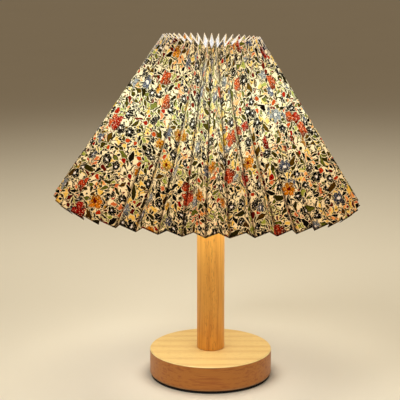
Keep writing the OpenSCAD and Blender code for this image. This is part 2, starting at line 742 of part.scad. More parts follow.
module bulb_driver() color("#2f6b46") {
    translate([-driver_w / 2, -board_h / 2, driver_z]) cube([driver_w, board_h, board_z - driver_z]);
    translate([0, board_h / 2, bulb_cap_top - capacitor_d])
        rotate([-90, 0, 0]) cylinder(d = capacitor_d, h = capacitor_l);
    translate([-driver_w / 2 + board_rim, -board_h / 2 - coil_h / 2, bulb_cap_top + board_rim])
        cube([coil_h, coil_h / 2, coil_h]);
}

module led_board() color("#e4e4e0") {
    translate([0, 0, board_z]) cylinder(r = board_r - fit_gap, h = board_h);
    for (i = [0 : 5]) rotate([0, 0, 60 * i])
        translate([chip_ring_r - chip_w / 2, -chip_w / 2, bulb_housing_top]) cube([chip_w, chip_w, chip_h]);
}

// Candle outline: round shoulder below, drawn in to a blunt tip, at height share t
function candle_r(t) = pow(sin(90 * pow(1 - t, 0.62)), 0.8);
candle_steps = 14;

module bulb_diffuser() color("#fff6df") {
    h = bulb_top - bulb_housing_top;
    inner_h = h - diffuser_wall;
    outside = [for (i = [0 : candle_steps]) let(t = i / candle_steps)
        [bulb_d / 2 * candle_r(t), bulb_housing_top + h * t]];
    inside = [for (i = [candle_steps : -1 : 0]) let(t = i / candle_steps)
        [(bulb_d / 2 - diffuser_wall) * candle_r(t), bulb_housing_top + inner_h * t]];
    rotate_extrude() polygon(concat(outside, inside));
}

foot_pad();
base_disc();
cable_bush();
column();
clamping_tube();
flat_washer();
spring_washer();
hex_nut();
terminal_block();
block_poles();
block_pole_screws();
block_wood_screw();
live_wire();
neutral_wire();
holder_cap();
cap_lock_screw();
holder_shell();
insulator();
screw_sleeve();
centre_contact();
neutral_strap();
terminals();
terminal_screws();
fitter_washer();
shade_arms();
crown_ring();
pleated_skirt();
retaining_ring();
bulb_contact();
bulb_insulator();
bulb_screw_cap();
bulb_housing();
bulb_driver();
led_board();
bulb_diffuser();
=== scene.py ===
"""Looks of a wooden table lamp: turned stand, screw lampholder, lit bulb and pleated printed shade.

Lengths are in metres. The lamp stands on the floor at z = 0, its axis is the Z axis and its front
faces -Y. Each sub-assembly is a class that builds its own surfaces and dresses the nodes it keeps.
"""

from __future__ import annotations

import logging
import math
from dataclasses import dataclass
from enum import Enum
from typing import Any, Iterable, Sequence

import bpy
import numpy as np
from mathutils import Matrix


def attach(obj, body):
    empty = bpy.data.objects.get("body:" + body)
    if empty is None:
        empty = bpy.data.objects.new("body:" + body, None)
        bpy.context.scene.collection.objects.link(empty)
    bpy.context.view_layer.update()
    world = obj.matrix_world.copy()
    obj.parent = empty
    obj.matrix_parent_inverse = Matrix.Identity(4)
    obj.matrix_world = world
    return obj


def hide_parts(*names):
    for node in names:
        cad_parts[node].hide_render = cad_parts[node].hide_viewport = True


LOG = logging.getLogger("lamp")
MM = 0.001
TURN = 2.0 * math.pi

Colour = tuple[float, float, float, float]
Array = np.ndarray
Socket = bpy.types.NodeSocket


def tone(red: int, green: int, blue: int) -> Colour:
    """Linear colour of a display colour.

    Args:
        red: Red, 0 to 255.
        green: Green, 0 to 255.
        blue: Blue, 0 to 255.

    Returns:
        The linear colour with full cover.
    """
    parts = [channel / 255.0 for channel in (red, green, blue)]
    low = [p / 12.92 if p <= 0.04045 else ((p + 0.055) / 1.055) ** 2.4 for p in parts]
    return (low[0], low[1], low[2], 1.0)


def dimmed(colour: Colour, share: float) -> Colour:
    """A colour times a share."""
    return (share * colour[0], share * colour[1], share * colour[2], 1.0)


class Graph:
    """The node tree of one material, written as expressions."""

    def __init__(self, name: str) -> None:
        """Starts a material that ends in one surface shader."""
        self.material: bpy.types.Material = bpy.data.materials.new(name)
        self.material.use_nodes = True
        self.tree: bpy.types.NodeTree = self.material.node_tree
        self.shader: bpy.types.Node = self.tree.nodes["Principled BSDF"]

    def put(self, kind: str, feeds: dict[Any, Any], **settings: Any) -> bpy.types.Node:
        """Adds a node.

        Args:
            kind: The node's kind, without its family name.
            feeds: Input name or number to a plain value or another node's output.
            settings: The node's own settings.

        Returns:
            The node.
        """
        node = self.tree.nodes.new("ShaderNode" + kind)
        for key, value in settings.items():
            setattr(node, key, value)
        for key, value in feeds.items():
            self.feed(node.inputs[key], value)
        return node

    def feed(self, socket: Socket, value: Any) -> None:
        """Links or sets one input."""
        if isinstance(value, Socket):
            self.tree.links.new(value, socket)
        else:
            socket.default_value = value

    def finish(self, **inputs: Any) -> bpy.types.Material:
        """Feeds the shader, with an underscore for each space in an input's name."""
        for key, value in inputs.items():
            self.feed(self.shader.inputs[key.replace("_", " ")], value)
        return self.material

    def math(self, operation: str, a: Any, b: Any = 0.0, c: Any = 0.0, clamp: bool = False) -> Socket:
        """One arithmetic step on up to three numbers."""
        return self.put("Math", {0: a, 1: b, 2: c}, operation=operation, use_clamp=clamp).outputs[0]

    def times(self, a: Any, b: Any) -> Socket:
        """A number times another."""
        return self.math("MULTIPLY", a, b)

    def line(self, a: Any, slope: Any, start: Any) -> Socket:
        """A number times a slope, plus a start."""
        return self.math("MULTIPLY_ADD", a, slope, start)

    def length(self, a: Any) -> Socket:
        """The length of a vector."""
        return self.put("VectorMath", {0: a}, operation="LENGTH").outputs["Value"]

    def vector(self, operation: str, a: Any, b: Any) -> Socket:
        """One arithmetic step on two vectors."""
        return self.put("VectorMath", {0: a, 1: b}, operation=operation).outputs[0]

    def scaled(self, a: Any, factor: Any) -> Socket:
        """A vector times a number."""
        return self.put("VectorMath", {0: a, "Scale": factor}, operation="SCALE").outputs[0]

    def split(self, a: Any) -> Sequence[Socket]:
        """The three numbers of a vector or colour."""
        return self.put("SeparateXYZ", {0: a}).outputs

    def joined(self, x: Any, y: Any, z: Any = 0.0) -> Socket:
        """A vector from three numbers."""
        return self.put("CombineXYZ", {0: x, 1: y, 2: z}).outputs[0]

    def mix(self, share: Any, a: Any, b: Any, blend: str = "MIX") -> Socket:
        """Colour b over colour a by a share."""
        return self.put("Mix", {0: share, 6: a, 7: b}, data_type="RGBA", blend_type=blend).outputs[2]

    def step(self, value: Any, low: float, high: float, top: float = 1.0) -> Socket:
        """Smooth rise from 0 to top as the value goes from low to high."""
        feeds = {"Value": value, "From Min": low, "From Max": high, "To Max": top}
        return self.put("MapRange", feeds, interpolation_type="SMOOTHSTEP").outputs[0]

    def choose(self, value: Any, inks: Sequence[Colour]) -> Socket:
        """One of several flat colours by a number from 0 to 1."""
        node = self.put("ValToRGB", {0: value})
        node.color_ramp.interpolation = "CONSTANT"
        elements = node.color_ramp.elements
        elements.remove(elements[1])
        elements[0].color = inks[0]
        for place, ink in enumerate(inks[1:], 1):
            elements.new(place / len(inks)).color = ink
        return node.outputs[0]

    def noise(self, place: Any, scale: float, detail: float, flat: bool = False) -> bpy.types.Node:
        """Smooth noise, in two dimensions where flat."""
        feeds = {"Vector": place, "Scale": scale, "Detail": detail}
        return self.put("TexNoise", feeds, noise_dimensions="2D" if flat else "3D")

    def place(self) -> Socket:
        """The point in the lamp's own frame."""
        return self.put("TexCoord", {}).outputs["Object"]

    def bump(self, height: Any, depth: float, strength: float = 1.0) -> Socket:
        """A normal from a height of 0 to 1 that stands for a depth in metres."""
        return self.put("Bump", {"Height": height, "Distance": depth, "Strength": strength}).outputs[0]


class Grain(Enum):
    """The direction that wood's fibres run in."""

    ACROSS = "x"
    UPRIGHT = "z"


@dataclass(frozen=True)
class Zone:
    """A tint that comes in smoothly as the height falls from one level to a lower one."""

    tint: Colour
    high: float
    low: float

    def over(self, g: Graph, z: Any, tint: Any) -> Socket:
        """The tint so far, with this zone's own below its levels."""
        return g.mix(g.step(z, self.high, self.low), tint, self.tint)


@dataclass(frozen=True)
class Wood:
    """Oiled solid wood: growth rings round a far heart, fine fibres and short dark flecks.

    Attributes:
        pale: Early wood.
        dark: Late wood.
        fleck: The flecks' colour.
        grain: The fibres' direction.
        heart: Distance of the rings' middle, to the side and up.
        ring: Width of a ring.
        contrast: How dark the late wood is, 0 to 1.
        flecks: How dark the flecks are, 0 to 1.
        band: Half width of the band that most flecks keep to.
        side: Tint of the wood's side, partly its own darker wood and partly painted shade, or painted shade
            darkening a column towards its foot.
        rim: Painted highlight on the thin rim where the top meets the side, if any.
        shoe: Painted shade on the rim at the foot, if any.
        fade: Change of the rings' contrast on the side.
        streaks: Strength of the side's streaks.
        drift: How far the rings wander.
        roughness: Middle of the uneven gloss.
    """

    name: str
    pale: Colour
    dark: Colour
    fleck: Colour
    grain: Grain
    heart: tuple[float, float]
    ring: float
    contrast: float
    flecks: float
    band: float
    side: Zone
    rim: Zone | None = None
    shoe: Zone | None = None
    fade: float = 0.0
    streaks: float = 0.0
    drift: float = 18.0 * MM
    roughness: float = 0.42

    def drawn_out(self, g: Graph, axes: Sequence[Any], squeeze: float, scale: float,
                  detail: float) -> Socket:
        """Noise drawn out along the fibres.

        Args:
            g: The material's graph.
            axes: Places along the fibres, to the side and up.
            squeeze: What the place along the fibres is multiplied by.
            scale: The noise's scale across the fibres.
            detail: The noise's detail.

        Returns:
            The noise, 0 to 1.
        """
        along, side, up = axes
        return g.noise(g.joined(g.times(along, squeeze), side, up), scale, detail).outputs[0]

    def make(self) -> bpy.types.Material:
        """Rings are a wave of the distance from the heart, bent by slow noise along the fibres.

        Flecks lie in a band round the middle, where the rings run along the face. The side has its own
        tint, partly darker wood and partly painted shade, and streaks; the rim above it has a painted
        highlight and the rim below it painted shade.
        """
        g = Graph(self.name)
        x, y, z = g.split(g.place())
        axes = (x, y, z) if self.grain is Grain.ACROSS else (z, x, y)
        along, side, up = axes
        wander = g.times(self.drawn_out(g, axes, 0.06, 34.0, 3.0), self.drift)
        away = g.length(g.joined(g.math("ADD", side, self.heart[0]), g.math("ADD", up, self.heart[1])))
        beat = g.times(g.math("ADD", away, wander), TURN / self.ring)
        late = g.math("POWER", g.line(g.math("SINE", beat), 0.5, 0.5), 2.2)
        below = g.step(z, self.side.high, self.side.low)
        late = g.times(late, g.line(below, self.fade, 1.0))
        fibre = self.drawn_out(g, axes, 0.035, 900.0, 2.0)
        specks = self.drawn_out(g, axes, 0.16, 1150.0, 1.0)
        middle = g.step(g.math("ABSOLUTE", side), self.band, 0.45 * self.band)
        fleck = g.times(g.step(specks, 0.58, 0.66), g.line(middle, 0.85, 0.15))
        cloud = g.noise(g.place(), 22.0, 2.0).outputs[0]
        share = g.line(g.math("SUBTRACT", fibre, 0.5), 0.9, g.times(late, self.contrast))
        share = g.line(g.math("SUBTRACT", cloud, 0.5), 0.4, share)
        streak = self.drawn_out(g, (along, g.times(side, 0.6), up), 0.06, 460.0, 3.0)
        streak = g.times(g.math("SUBTRACT", streak, 0.5), g.times(below, self.streaks))
        share = g.math("ADD", share, streak, clamp=True)
        colour = g.mix(share, self.pale, self.dark)
        colour = g.mix(g.times(fleck, self.flecks), colour, self.fleck)
        # Tints by height: painted highlight on the top rim, the side's tint with its painted shade, painted
        # shade on the foot's rim.
        tint: Any = (1.0, 1.0, 1.0, 1.0)
        for zone in (self.rim, self.side, self.shoe):
            if zone is not None:
                tint = zone.over(g, z, tint)
        colour = g.mix(1.0, colour, tint, "MULTIPLY")
        rough = g.line(fibre, 0.18, self.roughness - 0.06)
        relief = g.bump(g.times(fibre, 0.6), 0.05 * MM, 0.5)
        return g.finish(Base_Color=colour, Roughness=rough, Normal=relief, Coat_Weight=0.12,
                        Coat_Roughness=0.35)


@dataclass(frozen=True)
class Plastic:
    """Moulded or rubbery plastic with a skin of fine relief and uneven gloss."""

    name: str
    colour: Colour
    roughness: float = 0.4
    skin: float = 0.02 * MM

    def make(self) -> bpy.types.Material:
        """Fine noise gives the skin its relief, and slow noise its uneven gloss."""
        g = Graph(self.name)
        place = g.place()
        worn = g.noise(place, 60.0, 3.0).outputs[0]
        dust = g.noise(place, 2600.0, 1.0).outputs[0]
        colour = g.mix(g.step(worn, 0.35, 0.75), self.colour, dimmed(self.colour, 0.86))
        rough = g.math("ADD", g.step(worn, 0.2, 0.8, 0.2), self.roughness - 0.08)
        return g.finish(Base_Color=colour, Roughness=rough, Normal=g.bump(dust, self.skin))


@dataclass(frozen=True)
class Metal:
    """Drawn or turned metal with fine rings round the lamp's axis."""

    name: str
    colour: Colour
    roughness: float = 0.3

    def make(self) -> bpy.types.Material:
        """Noise stretched round the axis gives the turning marks."""
        g = Graph(self.name)
        place = g.place()
        x, y, z = g.split(place)
        radius = g.math("SQRT", g.math("ADD", g.times(x, x), g.times(y, y)))
        marks = g.noise(g.joined(radius, z), 4000.0, 2.0, flat=True).outputs[0]
        stain = g.noise(place, 90.0, 3.0).outputs[0]
        colour = g.mix(g.step(stain, 0.4, 0.8, 0.7), self.colour, dimmed(self.colour, 0.7))
        rough = g.math("ADD", g.times(marks, 0.14), self.roughness - 0.05)
        return g.finish(Base_Color=colour, Metallic=1.0, Roughness=rough, Normal=g.bump(marks, 0.01 * MM))


@dataclass(frozen=True)
class Paint:
    """Powder paint on wire and sheet, a little dull in places."""

    name: str
    colour: Colour

    def make(self) -> bpy.types.Material:
        """Orange-peel relief from fine noise, and a slow change of shade."""
        g = Graph(self.name)
        place = g.place()
        peel = g.noise(place, 1400.0, 1.0).outputs[0]
        shade = g.noise(place, 40.0, 3.0).outputs[0]
        colour = g.mix(g.step(shade, 0.4, 0.7), self.colour, dimmed(self.colour, 0.8))
        rough = g.math("ADD", g.times(shade, 0.2), 0.3)
        return g.finish(Base_Color=colour, Roughness=rough, Normal=g.bump(peel, 0.03 * MM))


@dataclass(frozen=True)
class Glow:
    """The bulb's milky cover, lit from within and dimmer at its foot.

    Attributes:
        low: Height where the light begins to rise.
        high: Height where it is full.
    """

    name: str
    colour: Colour
    low: float
    high: float
    power: float

    def make(self) -> bpy.types.Material:
        """Light rises with height from the foot, with faint clouds in the milky plastic."""
        g = Graph(self.name)
        place = g.place()
        z = g.split(place)[2]
        cloud = g.noise(place, 120.0, 2.0).outputs[0]
        rise = g.step(z, self.low, self.high, 0.45)
        rise = g.math("ADD", rise, g.times(cloud, 0.2))
        strength = g.times(g.math("ADD", rise, 0.5), self.power)
        return g.finish(Base_Color=self.colour, Roughness=0.35, Emission_Color=self.colour,
                        Emission_Strength=strength, Normal=g.bump(cloud, 0.01 * MM))


class MotifShape(Enum):
    """The outline of a printed motif."""

    FLOWER = "flower"
    LEAF = "leaf"
    DOT = "dot"
    PATCH = "patch"
    STEM = "stem"


@dataclass(frozen=True)
class Spot:
    """A place on the cloth as the motif of its cell sees it.

    Attributes:
        moved: The place, shifted by the motif's seed.
        x: Along the motif from its middle.
        y: Across it.
        away: Distance from its middle.
        reach: The motif's reach in this cell.
        across: x over that reach.
        pick: The cell's own number, 0 to 1.
        wash: Uneven strength of the ink, 0 to 1.
    """

    moved: Any
    x: Any
    y: Any
    away: Any
    reach: Any
    across: Any
    pick: Any
    wash: Any


@dataclass(frozen=True)
class Motif:
    """One kind of printed motif, scattered over the flat cloth.

    Attributes:
        shape: Its outline.
        spacing: Size of the cells that hold one motif each.
        reach: Length from its middle to its tip, or half the width of a stem or of a patch's gap.
        share: Share of the cells that hold one.
        inks: Its colours, one picked by each cell.
        seed: Shift of its cells against those of the other motifs.
        petals: Petals of a flower.
        depth: How deep a flower is cut in, or a leaf's half width over its reach.
        halo: Width of the pale gap round it.
        heart: Colour of its middle, if any.
        deep: Colour of its shade and outline.
        outline: Width of its outline, if any.
        scatter: How uneven the cells are, 0 to 1.
        bleed: Softness of its edge.
    """

    shape: MotifShape
    spacing: float
    reach: float
    share: float
    inks: tuple[Colour, ...]
    seed: float
    petals: int = 5
    depth: float = 0.35
    halo: float = 0.35 * MM
    heart: Colour | None = None
    deep: Colour = (0.012, 0.006, 0.003, 1.0)
    outline: float = 0.0
    scatter: float = 0.85
    bleed: float = 0.12 * MM

    def cells(self, g: Graph, moved: Any, feature: str) -> Any:
        """The outputs of the pattern of cells, by name."""
        feeds = {"Vector": moved, "Scale": 1.0 / self.spacing, "Randomness": self.scatter}
        return g.put("TexVoronoi", feeds, voronoi_dimensions="2D", feature=feature).outputs

    def spot(self, g: Graph, cloth: Any, wash: Any) -> Spot:
        """Finds a place's spot on the motif of its cell, which is turned and sized at random.

        Args:
            g: The material's graph.
            cloth: Place on the flat cloth.
            wash: Uneven strength of the ink, 0 to 1.

        Returns:
            The spot.
        """
        moved = g.vector("ADD", cloth, (self.seed, 1.7 * self.seed, 0.0))
        cell = self.cells(g, moved, "F1")
        turn, size, pick = g.split(cell["Color"])
        local = g.vector("SUBTRACT", moved, cell["Position"])
        feeds = {"Vector": local, "Angle": g.times(turn, TURN)}
        local = g.put("VectorRotate", feeds, rotation_type="Z_AXIS").outputs[0]
        x, y, _ = g.split(local)
        reach = g.times(g.line(size, 0.45, 0.65), self.reach)
        across = g.math("DIVIDE", x, reach)
        return Spot(moved, x, y, g.length(local), reach, across, pick, wash)

    def inside(self, g: Graph, spot: Spot) -> tuple[Any, Any]:
        """How far inside the motif's outline a spot is.

        A flower's reach follows a folded cosine of the angle, a leaf's half width is a parabola
        along it, a dot is a disc, a patch is a cell less a gap and a stem is its cell's border.

        Args:
            g: The material's graph.
            spot: The spot.

        Returns:
            The depth inside in metres, less than 0 outside, and how near a petal's middle line.
        """
        lobe: Any = 1.0
        if self.shape is MotifShape.LEAF:
            bow = g.line(spot.across, g.times(spot.across, -1.0), 1.0)
            aside = g.times(g.math("ABSOLUTE", spot.y), -1.0)
            inside = g.line(g.times(bow, spot.reach), self.depth, aside)
        elif self.shape is MotifShape.FLOWER:
            angle = g.times(g.math("ARCTAN2", spot.y, spot.x), self.petals / 2.0)
            lobe = g.math("SQRT", g.math("ABSOLUTE", g.math("COSINE", angle)))
            ragged = g.line(spot.wash, 0.5, 0.75)
            shaped = g.times(g.line(lobe, self.depth, 1.0 - self.depth), ragged)
            inside = g.line(shaped, spot.reach, g.times(spot.away, -1.0))
        elif self.shape is MotifShape.DOT:
            inside = g.math("SUBTRACT", spot.reach, spot.away)
        else:
            border = self.cells(g, spot.moved, "DISTANCE_TO_EDGE")["Distance"]
            way = 1.0 if self.shape is MotifShape.PATCH else -1.0
            inside = g.line(border, way * self.spacing, -way * self.reach)
        return inside, lobe

    def ink(self, g: Graph, spot: Spot, inside: Any, lobe: Any, ground: Any) -> Socket:
        """The motif's own colour, with a flower shaded to one side and between petals, and worn.

        Args:
            g: The material's graph.
            spot: The spot.
            inside: How far inside the outline it is.
            lobe: How near a petal's middle line it is.
            ground: The pale colour round the motif.

        Returns:
            The ink.
        """
        ink = g.choose(g.math("DIVIDE", spot.pick, self.share), self.inks)
        if self.shape is MotifShape.FLOWER:
            ink = g.mix(g.step(spot.across, -0.1, 0.9, 0.7), ink, self.deep)
            ink = g.mix(g.step(lobe, 0.7, 0.35, 0.7), ink, self.deep)
            ink = g.mix(g.step(spot.wash, 0.40, 0.32, 0.8), ink, ground)
            ink = g.mix(g.step(spot.wash, 0.60, 0.68, 0.8), ink, self.deep)
        elif self.shape is MotifShape.LEAF:
            ink = g.mix(g.step(spot.wash, 0.56, 0.64, 0.6), ink, self.deep)
        if self.outline > 0.0:
            ink = g.mix(g.step(inside, self.outline, 0.6 * self.outline, 0.9), ink, self.deep)
        return ink

    def over(self, g: Graph, cloth: Any, below: Any, ground: Any, wash: Any) -> Socket:
        """Prints the motif over what is there.

        Args:
            g: The material's graph.
            cloth: Place on the flat cloth.
            below: The colour so far.
            ground: The pale colour round the motif.
            wash: Uneven strength of the ink, 0 to 1.

        Returns:
            The colour with the motif on it.
        """
        spot = self.spot(g, cloth, wash)
        inside, lobe = self.inside(g, spot)
        there = g.math("LESS_THAN", spot.pick, self.share)
        inside = g.math("SUBTRACT", inside, g.math("SUBTRACT", 1.0, there))
        ink = self.ink(g, spot, inside, lobe, ground)
        around = g.step(inside, -self.halo - 0.1 * MM, -self.halo + 0.1 * MM)
        colour = g.mix(around, below, ground)
        colour = g.mix(g.step(inside, -self.bleed, self.bleed), colour, ink)
        if self.heart is not None:
            middle = g.line(spot.reach, 0.24, g.times(spot.away, -1.0))
            middle = g.times(g.step(middle, -0.1 * MM, 0.15 * MM), there)
            colour = g.mix(middle, colour, self.heart)
        return colour


@dataclass(frozen=True)
class PrintedCloth:
    """Printed cotton on a stiff white backing, lit through from inside.

    Attributes:
        ground: The cloth's colour between the motifs.
        skin: How much of the print's colour shows by outside light.
        flat_map: The map that holds the place on the flat cloth.
        height: Width of the flat cloth from hem to crown.
        thread: Width of two threads of the weave.
        print_scale: What a place on the cloth is multiplied by before it is printed on.
        warps: Scale and size of each warp of the print.
        depth: Gamma that darkens the print away from the bulb, as painted shade.
        haze: How much less that painted shade darkens the print at the bulb.
        hem_shade: Heights above the hem between which painted shade darkens it.
        bare_edge: Depths below the crown between which the bare edge begins.
        far_light: The light's colour away from the bulb.
        near_light: Its colour at the bulb.
    """

    name: str = "printed_cloth"
    ground: Colour = tone(250, 243, 214)
    skin: float = 0.5
    flat_map: str = "flat"
    height: float = 185.4 * MM
    thread: float = 0.45 * MM
    print_scale: float = 0.87
    warps: tuple[tuple[float, float], ...] = ((170.0, 3.2 * MM), (620.0, 0.8 * MM))
    depth: float = 2.1
    haze: float = 0.85
    hem_shade: tuple[float, float] = (1.8 * MM, 0.8 * MM)
    bare_edge: tuple[float, float] = (0.5 * MM, 0.2 * MM)
    far_light: Colour = (1.0, 0.64, 0.48, 1.0)
    near_light: Colour = (0.98, 1.0, 0.94, 1.0)

    def motifs(self) -> list[Motif]:
        """The print's motifs from the small ones below to the large ones on top."""
        olive, sage, moss = tone(104, 98, 34), tone(150, 154, 84), tone(62, 56, 18)
        khaki, ink, charcoal = tone(132, 108, 44), tone(18, 7, 2), tone(30, 22, 17)
        peach, straw, lichen = tone(241, 196, 140), tone(243, 221, 146), tone(192, 198, 122)
        rose, amber, gold = tone(226, 160, 112), tone(236, 204, 88), tone(226, 170, 44)
        red, orange, brick = tone(192, 66, 36), tone(214, 112, 56), tone(146, 64, 38)
        wine, slate = tone(74, 16, 12), tone(58, 53, 53)
        mist, steel, white = tone(170, 178, 182), tone(122, 130, 146), tone(242, 240, 232)
        leaf, dot, flower = MotifShape.LEAF, MotifShape.DOT, MotifShape.FLOWER
        patch, stem = MotifShape.PATCH, MotifShape.STEM
        grounds = (straw, peach, straw, lichen, rose, straw, lichen)
        return [
            Motif(patch, 8.0 * MM, 0.2 * MM, 0.56, grounds, 0.47, halo=0.0, scatter=1.0),
            Motif(stem, 6.5 * MM, 0.5 * MM, 0.8, (olive, moss, khaki, ink, sage), 5.77, halo=0.4 * MM,
                  scatter=1.0),
            Motif(dot, 2.9 * MM, 0.8 * MM, 0.8, (ink, olive, charcoal, brick, olive, sage), 3.31, halo=0.0),
            Motif(leaf, 6.2 * MM, 4.0 * MM, 0.82, (olive, moss, sage, ink, khaki, olive, brick), 1.31,
                  depth=0.36, halo=0.4 * MM, outline=0.35 * MM),
            Motif(leaf, 4.6 * MM, 2.6 * MM, 0.46, (ink, charcoal, brick, ink, moss), 7.11, depth=0.34,
                  halo=0.4 * MM),
            Motif(leaf, 10.5 * MM, 6.4 * MM, 0.6, (olive, moss, khaki, olive, sage), 2.57, depth=0.34,
                  halo=0.45 * MM, outline=0.5 * MM),
            Motif(dot, 9.0 * MM, 2.2 * MM, 0.3, (orange, brick, red, orange), 4.43, halo=0.45 * MM,
                  heart=wine, outline=0.3 * MM),
            Motif(flower, 12.5 * MM, 4.3 * MM, 0.5, (charcoal, slate, ink), 5.21, petals=5, depth=0.35,
                  halo=0.45 * MM, heart=white),
            Motif(flower, 21.0 * MM, 5.6 * MM, 0.34, (mist, steel), 6.77, petals=7, depth=0.45,
                  halo=0.45 * MM, heart=white, deep=slate, outline=0.3 * MM),
            Motif(flower, 23.0 * MM, 5.6 * MM, 0.28, (amber, gold), 7.93, petals=6, depth=0.38,
                  halo=0.45 * MM, heart=brick, deep=khaki, outline=0.4 * MM),
            Motif(flower, 26.0 * MM, 6.8 * MM, 0.26, (orange, red), 8.59, petals=4, depth=0.3,
                  halo=0.45 * MM, deep=wine, outline=0.4 * MM),
        ]

    def printed(self, g: Graph, flat: Any) -> Any:
        """The print: a place on the cloth is warped a little, and each motif goes over the last.

        Args:
            g: The material's graph.
            flat: Place on the flat cloth.

        Returns:
            The print's colour.
        """
        cloth: Any = g.scaled(flat, self.print_scale)
        for scale, swing in self.warps:
            wobble = g.vector("SUBTRACT", g.noise(flat, scale, 1.0, flat=True).outputs[1], (0.5, 0.5, 0.5))
            cloth = g.vector("ADD", cloth, g.scaled(wobble, swing))
        wash = g.noise(flat, 900.0, 2.0, flat=True).outputs[0]
        colour: Any = self.ground
        for motif in self.motifs():
            colour = motif.over(g, cloth, colour, self.ground, wash)
        return colour

    def make(self) -> bpy.types.Material:
        """Print, weave, painted shade at the folds and the hem, and the bulb's light through the cloth.

        Away from the bulb the print is darkened as painted shade and the light grows warmer, and the cut
        edge at the crown shows the bare ground.
        """
        g = Graph(self.name)
        flat = g.put("UVMap", {}, uv_map=self.flat_map).outputs[0]
        light = g.put("Attribute", {}, attribute_name="light").outputs["Fac"]
        # Painted shade: the gamma darkens the print away from the bulb.
        depth = g.line(light, -self.haze, self.depth)
        colour = g.put("Gamma", {0: self.printed(g, flat), 1: depth}).outputs[0]
        u, v, _ = g.split(flat)
        threads = [g.math("SINE", g.times(way, TURN / self.thread)) for way in (u, v)]
        weave = g.times(threads[0], threads[1])
        colour = g.mix(g.line(weave, 0.06, 0.06), colour, tone(120, 104, 74), "MULTIPLY")
        fold = g.put("Attribute", {}, attribute_name="fold").outputs["Fac"]
        # Painted shade along the folds: thin at the ridges, deeper in the valleys.
        ridge_shade = g.step(fold, 0.84, 1.0, 0.25)
        valley_shade = g.step(fold, -0.62, -0.98, 0.85)
        colour = g.mix(g.math("MAXIMUM", ridge_shade, valley_shade), colour, tone(92, 66, 48), "MULTIPLY")
        # Painted shade: the cloth darkens towards the hem's edge.
        colour = g.mix(g.step(v, *self.hem_shade, 0.8), colour, tone(70, 48, 34), "MULTIPLY")
        low, high = (self.height - below for below in self.bare_edge)
        colour = g.mix(g.step(v, low, high), colour, self.ground)
        warm = g.mix(light, self.far_light, self.near_light)
        shine = g.mix(1.0, colour, warm, "MULTIPLY")
        skin = g.mix(1.0, colour, (self.skin, self.skin, self.skin, 1.0), "MULTIPLY")
        strength = g.line(light, 0.55, 0.62)
        return g.finish(Base_Color=skin, Roughness=0.9, Sheen_Weight=0.01, Specular_IOR_Level=0.05,
                        Emission_Color=shine, Emission_Strength=strength,
                        Normal=g.bump(weave, 0.05 * MM, 0.6))


@dataclass(frozen=True)
class Backing:
    """Smooth white backing inside the shade, bright from the bulb."""

    name: str = "shade_backing"
    power: float = 0.27
    far_light: Colour = (1.0, 0.84, 0.66, 1.0)
    near_light: Colour = (0.9, 0.98, 1.12, 1.0)

    def make(self) -> bpy.types.Material:
        """White that follows the light on the cloth, warmer away from the bulb, with faint ripples."""
        g = Graph(self.name)
        light = g.put("Attribute", {}, attribute_name="light").outputs["Fac"]
        ripple = g.noise(g.place(), 260.0, 3.0).outputs[0]
        warm = g.mix(light, self.far_light, self.near_light)
        strength = g.times(g.line(light, 0.8, 0.2), self.power)
        return g.finish(Base_Color=tone(232, 234, 238), Roughness=0.6, Emission_Color=warm,
                        Emission_Strength=strength, Normal=g.bump(ripple, 0.08 * MM, 0.5))


